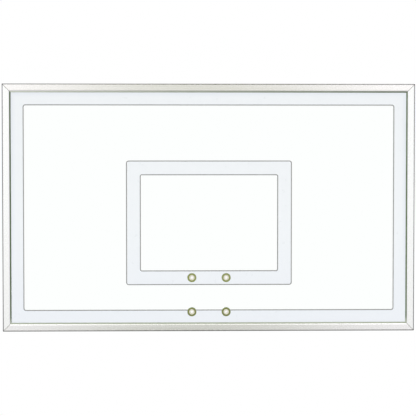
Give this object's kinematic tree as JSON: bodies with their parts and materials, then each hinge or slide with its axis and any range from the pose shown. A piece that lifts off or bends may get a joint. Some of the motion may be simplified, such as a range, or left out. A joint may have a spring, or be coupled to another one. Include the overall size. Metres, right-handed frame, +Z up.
{
  "type": "basketball backboard",
  "caption": "Rectangular clear glass basketball backboard in a mitred aluminium frame, with a white printed border and target and a square of bushed rim bolt holes.",
  "frame": {"origin": "centre of the rear mounting bolt pattern, on the flat back of the frame", "axes": "+X to the right seen from the court, +Z up, +Y backwards out of the mounting face; the printed front faces -Y"},
  "size_m": [1.524, 0.044, 0.9144],
  "materials": {
    "tempered_glass": "polished",
    "white_enamel": "fired screen print",
    "grey_enamel": "fired screen print",
    "anodised_aluminium": "satin anodised",
    "mill_aluminium": "mill",
    "gasket_rubber": "extruded, matt",
    "grommet_rubber": "moulded, matt",
    "white_nylon": "turned",
    "zinc_plated_steel": "zinc plated"
  },
  "bodies": {
    "root": {"glass_panel": "tempered_glass", "border_print": "white_enamel", "target_print": "white_enamel", "border_keyline": "grey_enamel", "target_outer_keyline": "grey_enamel", "target_inner_keyline": "grey_enamel", "top_rail": "anodised_aluminium", "bottom_rail": "anodised_aluminium", "left_stile": "anodised_aluminium", "right_stile": "anodised_aluminium", "mount_bar_top": "zinc_plated_steel", "mount_bar_bottom": "zinc_plated_steel", "mount_bar_screws": "zinc_plated_steel", "rim_grommets": "grommet_rubber", "rim_sleeves": "white_nylon", "top_gasket": "gasket_rubber", "bottom_gasket": "gasket_rubber", "left_gasket": "gasket_rubber", "right_gasket": "gasket_rubber", "corner_key_top_left": "mill_aluminium", "corner_key_top_right": "mill_aluminium", "corner_key_bottom_left": "mill_aluminium", "corner_key_bottom_right": "mill_aluminium"}
  },
  "joints": []
}
